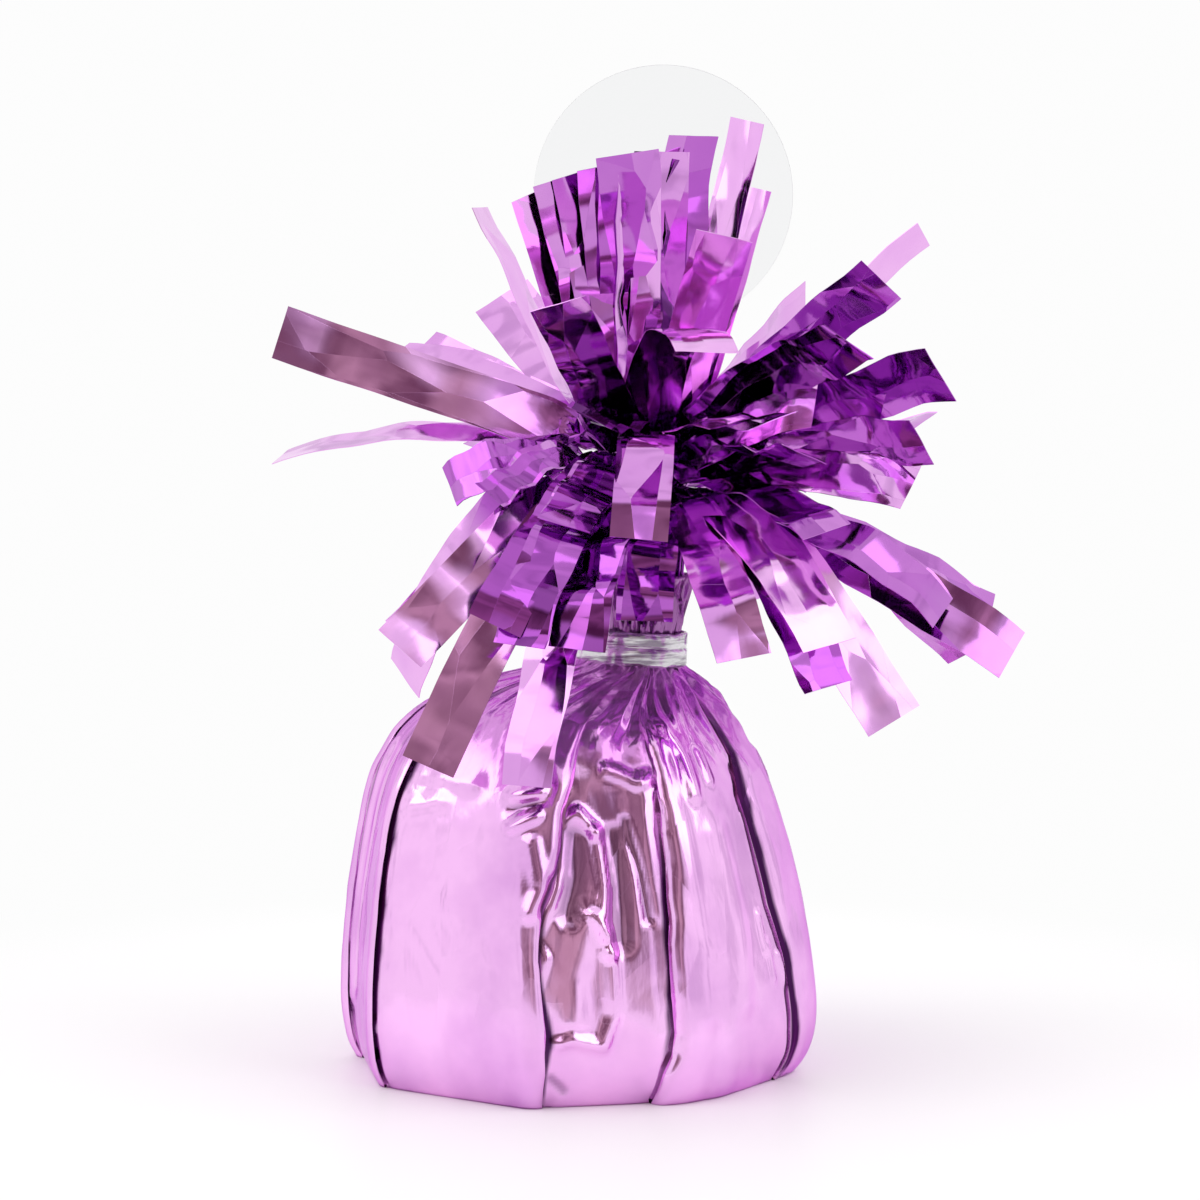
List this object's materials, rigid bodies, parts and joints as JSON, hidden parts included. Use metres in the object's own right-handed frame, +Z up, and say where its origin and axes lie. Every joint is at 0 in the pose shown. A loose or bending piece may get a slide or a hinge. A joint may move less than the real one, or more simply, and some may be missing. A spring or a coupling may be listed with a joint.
{
  "type": "balloon weight",
  "caption": "Foil-wrapped balloon weight: cast slug in a pleated film pouch, tied neck with a clear band, a burst of film strips and a clear disc tab for the ribbon.",
  "frame": {"origin": "middle of the eight-sided base, on the surface that the weight stands on", "axes": "+Z up, the pictured front faces -Y, +X to the right of that front"},
  "size_m": [0.1058, 0.0969, 0.1397],
  "materials": {
    "foil": "mirror-bright metallised film",
    "plaster": "matt cast plaster",
    "clear_tape": "clear glossy tape",
    "clear_sheet": "clear glossy sheet"
  },
  "bodies": {
    "weight": {"foil_wrap": "foil", "fringe_strip_01": "foil", "fringe_strip_02": "foil", "fringe_strip_03": "foil", "fringe_strip_04": "foil", "fringe_strip_05": "foil", "fringe_strip_06": "foil", "fringe_strip_07": "foil", "fringe_strip_08": "foil", "fringe_strip_09": "foil", "fringe_strip_10": "foil", "fringe_strip_11": "foil", "fringe_strip_12": "foil", "fringe_strip_13": "foil", "fringe_strip_14": "foil", "fringe_strip_15": "foil", "fringe_strip_16": "foil", "fringe_strip_17": "foil", "fringe_strip_18": "foil", "fringe_strip_19": "foil", "fringe_strip_20": "foil", "fringe_strip_21": "foil", "fringe_strip_22": "foil", "fringe_strip_23": "foil", "fringe_strip_24": "foil", "fringe_strip_25": "foil", "fringe_strip_26": "foil", "fringe_strip_27": "foil", "fringe_strip_28": "foil", "fringe_strip_29": "foil", "fringe_strip_30": "foil", "fringe_strip_31": "foil", "fringe_strip_32": "foil", "fringe_strip_33": "foil", "fringe_strip_34": "foil", "fringe_strip_35": "foil", "fringe_strip_36": "foil", "fringe_strip_37": "foil", "fringe_strip_38": "foil", "fringe_strip_39": "foil", "fringe_strip_40": "foil", "fringe_strip_41": "foil", "fringe_strip_42": "foil", "fringe_strip_43": "foil", "fringe_strip_44": "foil", "fringe_strip_45": "foil", "fringe_strip_46": "foil", "fringe_strip_47": "foil", "fringe_strip_48": "foil", "fringe_strip_49": "foil", "fringe_strip_50": "foil", "fringe_strip_51": "foil", "fringe_strip_52": "foil", "fringe_strip_53": "foil", "fringe_strip_54": "foil", "fringe_strip_55": "foil", "neck_band": "clear_tape", "tab_tongue": "clear_sheet", "weight_slug": "plaster"},
    "tab": {"ribbon_tab": "clear_sheet"}
  },
  "joints": [
    {"name": "tab_lean", "type": "hinge", "parent": "weight", "child": "tab", "pos_m": [0.00967, 0.0007, 0.08064], "axis": [0.9976, 0, -0.0698], "range_deg": [-30, 0], "stiffness_Nm_per_rad": 0.02}
  ]
}
